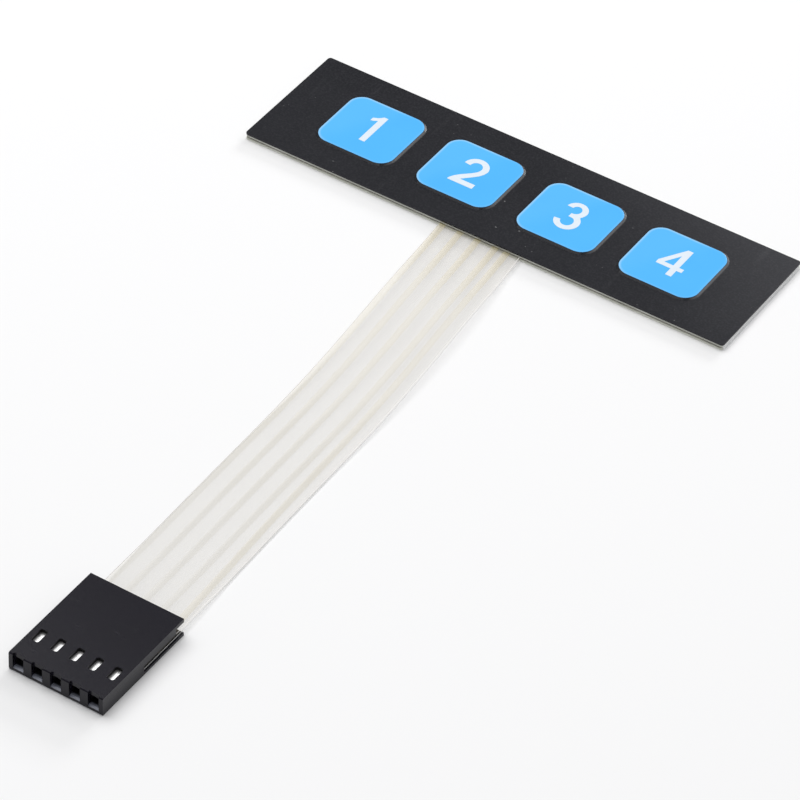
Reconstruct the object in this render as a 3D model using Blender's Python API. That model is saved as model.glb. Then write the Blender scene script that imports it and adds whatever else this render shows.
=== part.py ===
"""A one-row, four-key membrane keypad with its flat tail and five-way socket connector.

The pad is a laminate that lies flat on its peel-off liner. X runs along the row of keys, Y points away
from the tail and Z is up. The origin is the middle of the liner's underside, on the surface below.
"""

import math

import bmesh
import bpy
from mathutils import Matrix

MM = 0.001

# Laminate of the pad, from the bottom up
PAD_LENGTH = 69.0 * MM
PAD_WIDTH = 19.0 * MM
PAD_CORNER = 0.4 * MM
LINER_THICKNESS = 0.12 * MM
REAR_ADHESIVE_THICKNESS = 0.12 * MM
CIRCUIT_FILM_THICKNESS = 0.125 * MM
TRACK_THICKNESS = 0.02 * MM
SPACER_THICKNESS = 0.15 * MM
OVERLAY_ADHESIVE_THICKNESS = 0.1 * MM
OVERLAY_THICKNESS = 0.2 * MM
BOND_GAP = 0.01 * MM
LAYER_INSET = 0.05 * MM

# Embossed keys
KEY_COUNT = 4
KEY_PITCH = 14.6 * MM
KEY_LENGTH = 10.9 * MM
KEY_WIDTH = 10.4 * MM
KEY_CORNER = 2.0 * MM
KEY_RISE = 0.2 * MM
KEY_SLOPE = 0.3 * MM
POCKET_INSET = 0.12 * MM
ADHESIVE_WINDOW_MARGIN = 0.25 * MM

# Snap domes under the keys
DOME_DIAMETER = 8.4 * MM
DOME_HEIGHT = 0.34 * MM
DOME_THICKNESS = 0.06 * MM
DOME_HOLE_CLEARANCE = 0.3 * MM

# Flat tail: where it leaves the pad, how far it leans over, and how high its underside runs.
# The shares are of its way from the pad to the housing
TAIL_WIDTH = 11.7 * MM
TAIL_EXIT_X = 0.22 * MM
TAIL_LEAN = 2.55 * MM
TAIL_LEAN_SHARE = 0.5
TAIL_LATE_LEAN = 1.0 * MM
TAIL_STEP = 2.5 * MM
TAIL_ARCH_HEIGHT = 0.95 * MM
TAIL_ARCH_SHARE = 0.2
TAIL_LANDING_SHARE = 0.63
TAIL_LIFTING_SHARE = 0.84
TABLE_CLEARANCE = 0.03 * MM
COVER_THICKNESS = 0.05 * MM
COVER_SIDE_INSET = 0.15 * MM
COVER_TO_CRIMP_GAP = 0.5 * MM

# Printed tracks
TRACK_COUNT = 5
CONTACT_PITCH = 2.54 * MM
TRACK_WIDTH = 0.9 * MM
TRACKS_OFFSET = -0.27 * MM
COMMON_LEAN_IN = 0.92 * MM
LANE_PITCH = 1.25 * MM
FIRST_LANE_INSET = 3.8 * MM
COMMON_SIDE_INSET = 1.6 * MM
COMMON_RAIL_Y = 4.0 * MM
CENTRE_PAD_SIZE = 2.8 * MM
CENTRE_PAD_TAPER = 0.4 * MM

# Connector housing
HOUSING_WIDTH = 12.7 * MM
HOUSING_DEPTH = 15.4 * MM
HOUSING_HEIGHT = 2.54 * MM
HOUSING_REACH = 92.0 * MM
HOUSING_EDGE = 0.12 * MM
LOWER_PLATE = 0.4 * MM
SLOT_FROM_FRONT = 7.8 * MM
SLOT_HEIGHT = 0.9 * MM
REAR_LIP_DEPTH = 1.5 * MM
REAR_LIP_THICKNESS = 0.5 * MM
FILM_END_GAP = 0.3 * MM

# Sockets and windows of the housing
PIN_HEIGHT = 1.3 * MM
MOUTH_WIDTH = 1.46 * MM
MOUTH_DEPTH = 0.35 * MM
MOUTH_FLOOR = 0.4 * MM
MOUTH_FLOOR_RISE = 0.16 * MM
PIN_HOLE_WIDTH = 1.36 * MM
PIN_HOLE_HEIGHT = 1.4 * MM
FRONT_WALL = 1.0 * MM
CAVITY_WIDTH = 1.6 * MM
CAVITY_HEIGHT = 1.6 * MM
WINDOW_WIDTH = 0.98 * MM
WINDOW_LENGTH = 2.05 * MM
WINDOW_FROM_FRONT = 4.05 * MM
WINDOW_CORNER = 0.25 * MM

# Crimp contacts
CONTACT_CLEARANCE = 0.1 * MM
CONTACT_METAL = 0.15 * MM
CONTACT_FRONT_GAP = 0.4 * MM
RECEPTACLE_LENGTH = 5.1 * MM
CRIMP_WIDTH = 1.5 * MM
CRIMP_END_FROM_REAR = 3.0 * MM
STRAP_WIDTH = 0.8 * MM

CUT_OVERRUN = 1.0 * MM
ARC_STEPS = 6
ROUND_STEPS = 40
MERGE_DISTANCE = 0.0005 * MM

# Heights of the laminate's layers, worked out from the bottom up
LINER_BOTTOM = 0.0
REAR_ADHESIVE_BOTTOM = LINER_BOTTOM + LINER_THICKNESS + BOND_GAP
CIRCUIT_BOTTOM = REAR_ADHESIVE_BOTTOM + REAR_ADHESIVE_THICKNESS + BOND_GAP
TRACK_BOTTOM = CIRCUIT_BOTTOM + CIRCUIT_FILM_THICKNESS + BOND_GAP
SPACER_BOTTOM = TRACK_BOTTOM + TRACK_THICKNESS + BOND_GAP
OVERLAY_ADHESIVE_BOTTOM = SPACER_BOTTOM + SPACER_THICKNESS + BOND_GAP
OVERLAY_BOTTOM = OVERLAY_ADHESIVE_BOTTOM + OVERLAY_ADHESIVE_THICKNESS + BOND_GAP
OVERLAY_TOP = OVERLAY_BOTTOM + OVERLAY_THICKNESS

# Places along the tail, measured from the pad's near edge toward the connector
NEAR_EDGE_Y = -PAD_WIDTH / 2
HOUSING_FRONT_Y = NEAR_EDGE_Y - HOUSING_REACH
HOUSING_REAR_Y = HOUSING_FRONT_Y + HOUSING_DEPTH
SLOT_END_Y = HOUSING_FRONT_Y + SLOT_FROM_FRONT
HOUSING_X = TAIL_EXIT_X + TAIL_LEAN + TAIL_LATE_LEAN + TRACKS_OFFSET
FILM_END_Y = SLOT_END_Y + FILM_END_GAP
TAIL_RUN = NEAR_EDGE_Y - FILM_END_Y
TAIL_SEATED_AT = NEAR_EDGE_Y - HOUSING_REAR_Y
COVER_END_AT = TAIL_SEATED_AT + CRIMP_END_FROM_REAR - COVER_TO_CRIMP_GAP
CONTACT_FLOOR = PIN_HEIGHT - CAVITY_HEIGHT / 2 + CONTACT_CLEARANCE
SLOT_FILM_BOTTOM = CONTACT_FLOOR - (SPACER_BOTTOM - CIRCUIT_BOTTOM)


def key_centres():
    """X of each key, the row centred on the pad."""
    return [(index - (KEY_COUNT - 1) / 2) * KEY_PITCH for index in range(KEY_COUNT)]


def contact_centres():
    """X of each contact, the row centred on the housing."""
    return [HOUSING_X + (index - (TRACK_COUNT - 1) / 2) * CONTACT_PITCH for index in range(TRACK_COUNT)]


def ease(share):
    """A smooth step from 0 to 1 that starts and ends level."""
    share = min(max(share, 0.0), 1.0)
    return (1.0 - math.cos(math.pi * share)) / 2


def tail_height(distance):
    """Underside of the tail film at a distance from the pad's edge."""
    stations = (
        (0.0, CIRCUIT_BOTTOM),
        (TAIL_SEATED_AT * TAIL_ARCH_SHARE, TAIL_ARCH_HEIGHT),
        (TAIL_SEATED_AT * TAIL_LANDING_SHARE, TABLE_CLEARANCE),
        (TAIL_SEATED_AT * TAIL_LIFTING_SHARE, TABLE_CLEARANCE),
        (TAIL_SEATED_AT, SLOT_FILM_BOTTOM),
    )
    for (start, low), (end, high) in zip(stations, stations[1:]):
        if distance <= end:
            return low + (high - low) * ease((distance - start) / (end - start))
    return SLOT_FILM_BOTTOM


def late_share(distance):
    """From 0 at the pad to 1 at the housing, most of it near the housing."""
    return min(distance / TAIL_SEATED_AT, 1.0) ** 3


def tail_centre(distance):
    """X of the tail's middle at a distance from the pad's edge."""
    leaned = min(distance / (TAIL_SEATED_AT * TAIL_LEAN_SHARE), 1.0)
    return TAIL_EXIT_X + TAIL_LEAN * math.sin(math.pi / 2 * leaned) + TAIL_LATE_LEAN * late_share(distance)


def tail_stations(end=TAIL_RUN):
    """Evenly spaced distances from the pad's edge, the same for every layer, up to an end."""
    count = math.ceil(TAIL_RUN / TAIL_STEP)
    stations = [TAIL_RUN * index / count for index in range(count + 1)]
    return [distance for distance in stations if distance <= end]


def track_x(index, distance):
    """X of a track's middle on the tail; the last one leans in toward the pad."""
    spread = (index - (TRACK_COUNT - 1) / 2) * CONTACT_PITCH
    if index == TRACK_COUNT - 1:
        spread -= COMMON_LEAN_IN * (1.0 - late_share(distance))
    return tail_centre(distance) + TRACKS_OFFSET + spread


def rounded_rectangle(length, width, corner, centre=(0.0, 0.0), steps=ARC_STEPS):
    """Points of a rounded rectangle, going round to the left."""
    points = []
    for quarter, (side_x, side_y) in enumerate(((1, 1), (-1, 1), (-1, -1), (1, -1))):
        hub_x = centre[0] + side_x * (length / 2 - corner)
        hub_y = centre[1] + side_y * (width / 2 - corner)
        for step in range(steps + 1):
            angle = math.pi / 2 * (quarter + step / steps)
            points.append((hub_x + corner * math.cos(angle), hub_y + corner * math.sin(angle)))
    return points


def circle(radius, centre, steps=ROUND_STEPS):
    """Points of a circle, going round to the left."""
    turns = [2 * math.pi * step / steps for step in range(steps)]
    return [(centre[0] + radius * math.cos(turn), centre[1] + radius * math.sin(turn)) for turn in turns]


def clear_scene():
    """Removes the objects of the scene that the script starts in."""
    for leftover in list(bpy.data.objects):
        bpy.data.objects.remove(leftover, do_unlink=True)


def make_collection(name):
    """A new collection in the scene."""
    collection = bpy.data.collections.new(name)
    bpy.context.scene.collection.children.link(collection)
    return collection


def make_material(name, colour, roughness, metallic=0.0, alpha=1.0):
    """A Principled BSDF material."""
    material = bpy.data.materials.new(name)
    material.use_nodes = True
    shader = material.node_tree.nodes["Principled BSDF"]
    shader.inputs["Base Color"].default_value = (*colour, 1.0)
    shader.inputs["Roughness"].default_value = roughness
    shader.inputs["Metallic"].default_value = metallic
    shader.inputs["Alpha"].default_value = alpha
    material.diffuse_color = (*colour, 1.0)
    return material


def finish_mesh(bm, name):
    """Turns a bmesh into a closed mesh with its faces pointing out."""
    bmesh.ops.remove_doubles(bm, verts=bm.verts, dist=MERGE_DISTANCE)
    bmesh.ops.recalc_face_normals(bm, faces=bm.faces)
    mesh = bpy.data.meshes.new(name)
    bm.to_mesh(mesh)
    bm.free()
    return mesh


def add_part(name, mesh, material, collection):
    """A named object for a sub-part, in its collection and with its material."""
    part = bpy.data.objects.new(name, mesh)
    mesh.materials.clear()
    mesh.materials.append(material)
    collection.objects.link(part)
    return part


def add_cutter(name, mesh, collection):
    """A guide shape for a Boolean, drawn as wire and never rendered."""
    cutter = bpy.data.objects.new(name, mesh)
    cutter.display_type = "WIRE"
    cutter.hide_render = True
    collection.objects.link(cutter)
    return cutter


def combine(part, other, operation):
    """Adds an exact Boolean of another shape to a part."""
    boolean = part.modifiers.new(f"{operation.lower()} {other.name}", "BOOLEAN")
    boolean.operation = operation
    boolean.solver = "EXACT"
    boolean.object = other


def outline_mesh(name, outlines, thickness, bottom=0.0):
    """A flat plate from an outline and the outlines of its holes, standing on a height."""
    curve = bpy.data.curves.new(name, "CURVE")
    curve.dimensions = "2D"
    curve.fill_mode = "BOTH"
    curve.extrude = thickness / 2
    for outline in outlines:
        spline = curve.splines.new("POLY")
        spline.points.add(len(outline) - 1)
        for point, (x, y) in zip(spline.points, outline):
            point.co = (x, y, 0.0, 1.0)
        spline.use_cyclic_u = True
    drawn = bpy.data.objects.new(name, curve)
    bpy.context.scene.collection.objects.link(drawn)
    graph = bpy.context.evaluated_depsgraph_get()
    flat = bpy.data.meshes.new_from_object(drawn.evaluated_get(graph))
    bpy.data.objects.remove(drawn, do_unlink=True)
    bm = bmesh.new()
    bm.from_mesh(flat)
    bmesh.ops.translate(bm, verts=bm.verts, vec=(0.0, 0.0, bottom + thickness / 2))
    return finish_mesh(bm, name)


def thicken(bm, thickness):
    """Raises a second skin over a sheet and closes the wall between the two."""
    raised = bmesh.ops.extrude_face_region(bm, geom=bm.faces[:])
    corners = [item for item in raised["geom"] if isinstance(item, bmesh.types.BMVert)]
    bmesh.ops.translate(bm, verts=corners, vec=(0.0, 0.0, thickness))


def extrude_to(bm, edge, left, right):
    """Extrudes an edge of a sheet to a new pair of corners and returns the new edge."""
    grown = bmesh.ops.extrude_edge_only(bm, edges=[edge])["geom"]
    new_edge = next(item for item in grown if isinstance(item, bmesh.types.BMEdge)
                    and all(corner in grown for corner in item.verts)
                    and not any(corner in edge.verts for corner in item.verts))
    for old, new in zip(edge.verts, new_edge.verts):
        new.co = left if old.tag else right
        new.tag = old.tag
    return new_edge


def start_edge(bm, left, right):
    """The first edge of a strip, its left corner tagged."""
    corners = [bm.verts.new(left), bm.verts.new(right)]
    corners[0].tag = True
    return bm.edges.new(corners)


def loft_mesh(name, sections):
    """A closed solid through outlines of equal count, each a list of points in space."""
    bm = bmesh.new()
    rings = []
    for section in sections:
        corners = [bm.verts.new(point) for point in section]
        rings.append([bm.edges.new((a, b)) for a, b in zip(corners, corners[1:] + corners[:1])])
    for lower, upper in zip(rings, rings[1:]):
        bmesh.ops.bridge_loops(bm, edges=lower + upper)
    for ring in (rings[0], rings[-1]):
        bmesh.ops.contextual_create(bm, geom=ring)
    return finish_mesh(bm, name)


def join_meshes(name, meshes):
    """One mesh that holds several separate closed shapes."""
    bm = bmesh.new()
    for mesh in meshes:
        bm.from_mesh(mesh)
    return finish_mesh(bm, name)


def box_mesh(name, low, high):
    """A box between two corners."""
    bm = bmesh.new()
    bmesh.ops.create_cube(bm, size=1.0)
    size = [b - a for a, b in zip(low, high)]
    middle = [(a + b) / 2 for a, b in zip(low, high)]
    bmesh.ops.scale(bm, verts=bm.verts, vec=size)
    bmesh.ops.translate(bm, verts=bm.verts, vec=middle)
    return finish_mesh(bm, name)


def side_profile_mesh(name, profile, width, centre_x):
    """A side profile in Y and Z, drawn out along X to a width."""
    mesh = outline_mesh(name, [profile], width, -width / 2)
    x_from_z, y_from_x, z_from_y = (0.0, 0.0, 1.0, centre_x), (1.0, 0.0, 0.0, 0.0), (0.0, 1.0, 0.0, 0.0)
    mesh.transform(Matrix((x_from_z, y_from_x, z_from_y, (0.0, 0.0, 0.0, 1.0))))
    return mesh


def pad_outline(inset=0.0):
    """The pad's outline, drawn in by an inset."""
    return rounded_rectangle(PAD_LENGTH - 2 * inset, PAD_WIDTH - 2 * inset, PAD_CORNER, steps=3)


def key_outline(centre_x, growth):
    """A key's rounded square, grown on every side."""
    length, width = KEY_LENGTH + 2 * growth, KEY_WIDTH + 2 * growth
    return rounded_rectangle(length, width, KEY_CORNER + growth, (centre_x, 0.0))


def raised_key_mesh(name, centre_x, base, inset):
    """A key's raised shape over a base height, with its sloping rim."""
    foot = KEY_SLOPE - inset
    levels = ((base - OVERLAY_THICKNESS / 2, foot), (base, foot), (base + KEY_RISE, -inset))
    return loft_mesh(name, [[(x, y, z) for x, y in key_outline(centre_x, growth)] for z, growth in levels])


def build_overlay(parts, cutters):
    """The printed top film, embossed over each key from below."""
    plastic = make_material("overlay_polyester", (0.03, 0.03, 0.033), 0.42)
    sheet = outline_mesh("graphic_overlay", [pad_outline()], OVERLAY_THICKNESS, OVERLAY_BOTTOM)
    overlay = add_part("graphic_overlay", sheet, plastic, parts)
    raised = [raised_key_mesh("raised_key", x, OVERLAY_TOP, 0.0) for x in key_centres()]
    pockets = [raised_key_mesh("key_pocket", x, OVERLAY_BOTTOM, POCKET_INSET) for x in key_centres()]
    combine(overlay, add_cutter("raised_keys", join_meshes("raised_keys", raised), cutters), "UNION")
    combine(overlay, add_cutter("key_pockets", join_meshes("key_pockets", pockets), cutters), "DIFFERENCE")


def build_flat_layers(parts):
    """The liner, the two adhesives and the spacer, cut to the pad and open under the keys."""
    paper = make_material("liner_paper", (0.82, 0.83, 0.78), 0.6)
    adhesive = make_material("clear_adhesive", (0.80, 0.82, 0.76), 0.35)
    spacer_film = make_material("spacer_polyester", (0.78, 0.80, 0.76), 0.3)
    outline = pad_outline(LAYER_INSET)
    windows = [key_outline(x, KEY_SLOPE + ADHESIVE_WINDOW_MARGIN) for x in key_centres()]
    holes = [circle(DOME_DIAMETER / 2 + DOME_HOLE_CLEARANCE, (x, 0.0)) for x in key_centres()]
    layers = (
        ("release_liner", [pad_outline()], LINER_THICKNESS, LINER_BOTTOM, paper),
        ("rear_adhesive", [outline], REAR_ADHESIVE_THICKNESS, REAR_ADHESIVE_BOTTOM, adhesive),
        ("dome_spacer", [outline] + holes, SPACER_THICKNESS, SPACER_BOTTOM, spacer_film),
        ("overlay_adhesive", [outline] + windows, OVERLAY_ADHESIVE_THICKNESS, OVERLAY_ADHESIVE_BOTTOM,
         adhesive),
    )
    for name, outlines, thickness, bottom, material in layers:
        add_part(name, outline_mesh(name, outlines, thickness, bottom), material, parts)


def dome_mesh(name, centre_x):
    """A shallow spring-steel cap over a circular rim."""
    rim = DOME_DIAMETER / 2
    sphere = (rim ** 2 + DOME_HEIGHT ** 2) / (2 * DOME_HEIGHT)
    base = SPACER_BOTTOM
    rings = 6
    shares = [1.0 - index / rings for index in range(rings)]
    bm = bmesh.new()
    loops = []
    for share in shares:
        radius = rim * share
        height = base + math.sqrt(sphere ** 2 - radius ** 2) - (sphere - DOME_HEIGHT)
        corners = [bm.verts.new((x, y, height)) for x, y in circle(radius, (centre_x, 0.0))]
        loops.append([bm.edges.new((a, b)) for a, b in zip(corners, corners[1:] + corners[:1])])
    for lower, upper in zip(loops, loops[1:]):
        bmesh.ops.bridge_loops(bm, edges=lower + upper)
    bmesh.ops.contextual_create(bm, geom=loops[-1])
    thicken(bm, DOME_THICKNESS)
    return finish_mesh(bm, name)


def build_domes(parts):
    """One snap dome under each key."""
    steel = make_material("dome_stainless", (0.62, 0.61, 0.58), 0.25, metallic=1.0)
    for number, centre_x in enumerate(key_centres(), start=1):
        name = f"dome_{number}"
        dome = add_part(name, dome_mesh(name, centre_x), steel, parts)
        dome.data.shade_smooth()


def tail_strip(bm, edge, side_x, lift, end=TAIL_RUN):
    """Draws a strip on along the tail, between the two sides side_x gives, at a lift over the film."""
    for distance in tail_stations(end)[1:]:
        left, right = side_x(distance)
        y, z = NEAR_EDGE_Y - distance, tail_height(distance) + lift
        edge = extrude_to(bm, edge, (left, y, z), (right, y, z))


def film_sides(distance):
    """X of the tail's two edges."""
    return tail_centre(distance) - TAIL_WIDTH / 2, tail_centre(distance) + TAIL_WIDTH / 2


def cover_sides(distance):
    """X of the cover film's two edges."""
    left, right = film_sides(distance)
    return left + COVER_SIDE_INSET, right - COVER_SIDE_INSET


def build_circuit_film(parts):
    """The polyester circuit film and its tail, die cut as one piece."""
    clear = make_material("circuit_polyester", (0.86, 0.86, 0.84), 0.25)
    bm = bmesh.new()
    outline = pad_outline(LAYER_INSET)
    left, right = film_sides(0.0)
    cut = next(i for i, (x, y) in enumerate(outline) if y < 0 and x > 0)
    corners = [bm.verts.new((x, y, CIRCUIT_BOTTOM)) for x, y in outline[:cut]]
    junction = start_edge(bm, (left, NEAR_EDGE_Y, CIRCUIT_BOTTOM), (right, NEAR_EDGE_Y, CIRCUIT_BOTTOM))
    roots = [bm.verts.new((x, NEAR_EDGE_Y + LAYER_INSET, CIRCUIT_BOTTOM)) for x in (left, right)]
    corners += [roots[0], *junction.verts, roots[1]]
    corners += [bm.verts.new((x, y, CIRCUIT_BOTTOM)) for x, y in outline[cut:]]
    bm.faces.new(corners)
    tail_strip(bm, junction, film_sides, 0.0)
    thicken(bm, CIRCUIT_FILM_THICKNESS)
    add_part("circuit_film", finish_mesh(bm, "circuit_film"), clear, parts)


def build_tail_cover(parts):
    """The thin film that insulates the tracks, from the pad to the crimps."""
    clear = make_material("cover_polyester", (0.88, 0.88, 0.86), 0.2)
    bm = bmesh.new()
    left, right = cover_sides(0.0)
    edge = start_edge(bm, (left, NEAR_EDGE_Y, SPACER_BOTTOM), (right, NEAR_EDGE_Y, SPACER_BOTTOM))
    tail_strip(bm, edge, cover_sides, SPACER_BOTTOM - CIRCUIT_BOTTOM, COVER_END_AT)
    thicken(bm, COVER_THICKNESS)
    add_part("tail_cover", finish_mesh(bm, "tail_cover"), clear, parts)


def mitred_sides(route, widths):
    """Left and right corners along a flat route of straight runs, mitred where it turns."""
    sides = []
    for index, ((x, y), width) in enumerate(zip(route, widths)):
        before = route[max(index - 1, 0)]
        after = route[min(index + 1, len(route) - 1)]
        arriving = heading(before, (x, y)) if index > 0 else heading((x, y), after)
        leaving = heading((x, y), after) if index < len(route) - 1 else arriving
        along = (arriving[0] + leaving[0], arriving[1] + leaving[1])
        length = math.hypot(*along)
        across = (-along[1] / length, along[0] / length)
        reach = width / 2 / (across[0] * -arriving[1] + across[1] * arriving[0])
        side_x, side_y = across[0] * reach, across[1] * reach
        sides.append(((x + side_x, y + side_y), (x - side_x, y - side_y)))
    return sides


def heading(start, end):
    """Unit direction from one point to another."""
    length = math.hypot(end[0] - start[0], end[1] - start[1])
    return (end[0] - start[0]) / length, (end[1] - start[1]) / length


def pad_route(index):
    """A track's route over the pad, with its width at each turn; it starts at the pad's edge."""
    start_x = track_x(index, 0.0)
    if index < KEY_COUNT:
        key_x = key_centres()[index]
        lane = abs(index - (KEY_COUNT - 1) / 2) - 0.5
        lane_y = NEAR_EDGE_Y + FIRST_LANE_INSET - lane * LANE_PITCH
        half_pad = CENTRE_PAD_SIZE / 2
        route = [(start_x, NEAR_EDGE_Y), (start_x, lane_y), (key_x, lane_y),
                 (key_x, -half_pad - CENTRE_PAD_TAPER), (key_x, -half_pad), (key_x, half_pad)]
        widths = [TRACK_WIDTH] * 4 + [CENTRE_PAD_SIZE] * 2
        return route, widths
    lane_y = NEAR_EDGE_Y + FIRST_LANE_INSET - 2 * LANE_PITCH
    side_x = PAD_LENGTH / 2 - COMMON_SIDE_INSET
    end_x = key_centres()[0] - DOME_DIAMETER / 2
    route = [(start_x, NEAR_EDGE_Y), (start_x, lane_y), (side_x, lane_y), (side_x, COMMON_RAIL_Y),
             (end_x, COMMON_RAIL_Y)]
    return route, [TRACK_WIDTH] * len(route)


def track_mesh(name, index):
    """A printed silver track, from its key along the tail to its contact."""
    bm = bmesh.new()
    route, widths = pad_route(index)
    z = TRACK_BOTTOM
    corners = mitred_sides(route, widths)
    edge = start_edge(bm, (*corners[-1][0], z), (*corners[-1][1], z))
    for left, right in reversed(corners[:-1]):
        edge = extrude_to(bm, edge, (*left, z), (*right, z))

    def sides(distance):
        middle = track_x(index, distance)
        return middle - TRACK_WIDTH / 2, middle + TRACK_WIDTH / 2

    tail_strip(bm, edge, sides, TRACK_BOTTOM - CIRCUIT_BOTTOM)
    thicken(bm, TRACK_THICKNESS)
    return finish_mesh(bm, name)


def build_tracks(parts):
    """Four key tracks and the common one."""
    silver = make_material("silver_ink", (0.70, 0.68, 0.60), 0.45, metallic=0.3)
    names = [f"track_key_{number}" for number in range(1, KEY_COUNT + 1)] + ["track_common"]
    for index, name in enumerate(names):
        add_part(name, track_mesh(name, index), silver, parts)


def mouth_cutter(name, centre_x):
    """The shallow open-topped mouth in front of one pin hole, its floor sloping up to the hole."""
    above = HOUSING_HEIGHT + CUT_OVERRUN
    left, right = centre_x - MOUTH_WIDTH / 2, centre_x + MOUTH_WIDTH / 2
    sections = []
    inner_floor = MOUTH_FLOOR + MOUTH_FLOOR_RISE
    for depth, floor in ((-CUT_OVERRUN, MOUTH_FLOOR), (0.0, MOUTH_FLOOR), (MOUTH_DEPTH, inner_floor)):
        y = HOUSING_FRONT_Y + depth
        sections.append([(right, y, above), (left, y, above), (left, y, floor), (right, y, floor)])
    return loft_mesh(name, sections)


def pin_hole_cutter(name, centre_x):
    """The hole for one pin, through the front wall and into the cavity behind it."""
    low = (centre_x - PIN_HOLE_WIDTH / 2, HOUSING_FRONT_Y - CUT_OVERRUN, PIN_HEIGHT - PIN_HOLE_HEIGHT / 2)
    high = (centre_x + PIN_HOLE_WIDTH / 2, HOUSING_FRONT_Y + FRONT_WALL + CONTACT_CLEARANCE,
            PIN_HEIGHT + PIN_HOLE_HEIGHT / 2)
    return box_mesh(name, low, high)


def window_cutter(name, centre_x):
    """The window in the housing's top over one contact."""
    middle = (centre_x, HOUSING_FRONT_Y + WINDOW_FROM_FRONT)
    outline = rounded_rectangle(WINDOW_WIDTH, WINDOW_LENGTH, WINDOW_CORNER, middle, steps=3)
    return outline_mesh(name, [outline], HOUSING_HEIGHT - PIN_HEIGHT + CUT_OVERRUN, PIN_HEIGHT)


def cavity_cutter(name, centre_x):
    """The cavity that holds one contact, open into the film slot."""
    low = (centre_x - CAVITY_WIDTH / 2, HOUSING_FRONT_Y + FRONT_WALL, PIN_HEIGHT - CAVITY_HEIGHT / 2)
    high = (centre_x + CAVITY_WIDTH / 2, SLOT_END_Y + CONTACT_CLEARANCE, PIN_HEIGHT + CAVITY_HEIGHT / 2)
    return box_mesh(name, low, high)


def housing_profile():
    """Side view of the housing, with the film slot open at its rear."""
    front, rear, top = HOUSING_FRONT_Y, HOUSING_REAR_Y, HOUSING_HEIGHT
    slot_top = LOWER_PLATE + SLOT_HEIGHT
    lip_bottom = top - REAR_LIP_THICKNESS
    lip_start = rear - REAR_LIP_DEPTH
    edge = HOUSING_EDGE
    return [
        (front, edge), (front + edge, 0.0), (rear, 0.0), (rear, LOWER_PLATE),
        (SLOT_END_Y, LOWER_PLATE), (SLOT_END_Y, slot_top),
        (lip_start, slot_top), (lip_start, lip_bottom), (rear, lip_bottom), (rear, top), (front + edge, top),
        (front, top - edge),
    ]


def build_housing(parts, cutters):
    """The moulded housing: a front block with sockets, and two plates that close on the film."""
    plastic = make_material("connector_plastic", (0.028, 0.028, 0.032), 0.45)
    body = side_profile_mesh("connector_housing", housing_profile(), HOUSING_WIDTH, HOUSING_X)
    housing = add_part("connector_housing", body, plastic, parts)
    cavities = [cavity_cutter("cavity", x) for x in contact_centres()]
    mouths = [mouth_cutter("mouth", x) for x in contact_centres()]
    holes = [pin_hole_cutter("pin_hole", x) for x in contact_centres()]
    windows = [window_cutter("window", x) for x in contact_centres()]
    openings = (("contact_cavities", cavities), ("socket_mouths", mouths), ("pin_holes", holes),
                ("contact_windows", windows))
    for name, shapes in openings:
        combine(housing, add_cutter(name, join_meshes(name, shapes), cutters), "DIFFERENCE")


def contact_shapes(centre_x):
    """The square receptacle, its bore, the strap behind it and the crimp plate on the track."""
    half_width = CAVITY_WIDTH / 2 - CONTACT_CLEARANCE
    wall = CONTACT_METAL
    floor = CONTACT_FLOOR
    top = PIN_HEIGHT * 2 - floor
    front = HOUSING_FRONT_Y + FRONT_WALL + CONTACT_FRONT_GAP
    rear = front + RECEPTACLE_LENGTH
    crimp_end = HOUSING_REAR_Y - CRIMP_END_FROM_REAR
    shell = box_mesh("shell", (centre_x - half_width, front, floor), (centre_x + half_width, rear, top))
    bore = box_mesh("bore", (centre_x - half_width + wall, front - CUT_OVERRUN, floor + wall),
                    (centre_x + half_width - wall, rear + CUT_OVERRUN, top - wall))
    strap = box_mesh("strap", (centre_x - STRAP_WIDTH / 2, rear - wall, floor),
                     (centre_x + STRAP_WIDTH / 2, FILM_END_Y + wall, floor + wall))
    crimp = box_mesh("crimp", (centre_x - CRIMP_WIDTH / 2, FILM_END_Y, floor),
                     (centre_x + CRIMP_WIDTH / 2, crimp_end, floor + wall))
    return shell, bore, strap, crimp


def build_contacts(parts, cutters):
    """Five tin-plated contacts, each a receptacle for a square pin and a crimp on its track."""
    tin = make_material("contact_tin", (0.80, 0.79, 0.76), 0.25, metallic=1.0)
    for number, centre_x in enumerate(contact_centres(), start=1):
        name = f"contact_{number}"
        shell, bore, strap, crimp = contact_shapes(centre_x)
        contact = add_part(name, shell, tin, parts)
        combine(contact, add_cutter(f"{name}_bore", bore, cutters), "DIFFERENCE")
        combine(contact, add_cutter(f"{name}_strap", strap, cutters), "UNION")
        combine(contact, add_cutter(f"{name}_crimp", crimp, cutters), "UNION")


def main():
    clear_scene()
    parts = make_collection("membrane_keypad")
    cutters = make_collection("membrane_keypad_cutters")
    build_overlay(parts, cutters)
    build_flat_layers(parts)
    build_domes(parts)
    build_circuit_film(parts)
    build_tail_cover(parts)
    build_tracks(parts)
    build_housing(parts, cutters)
    build_contacts(parts, cutters)


main()
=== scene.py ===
"""Looks of a four-key membrane keypad with its flat tail and socket connector.

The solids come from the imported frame. This file gives each one its finish, adds the print on the keys and
lays single skins in place of the tail's cover and tracks. It sets the keypad on a pale table under soft
light, seen as in its photograph.
"""

import math

import bmesh
import bpy
from mathutils import Matrix, Vector


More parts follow.
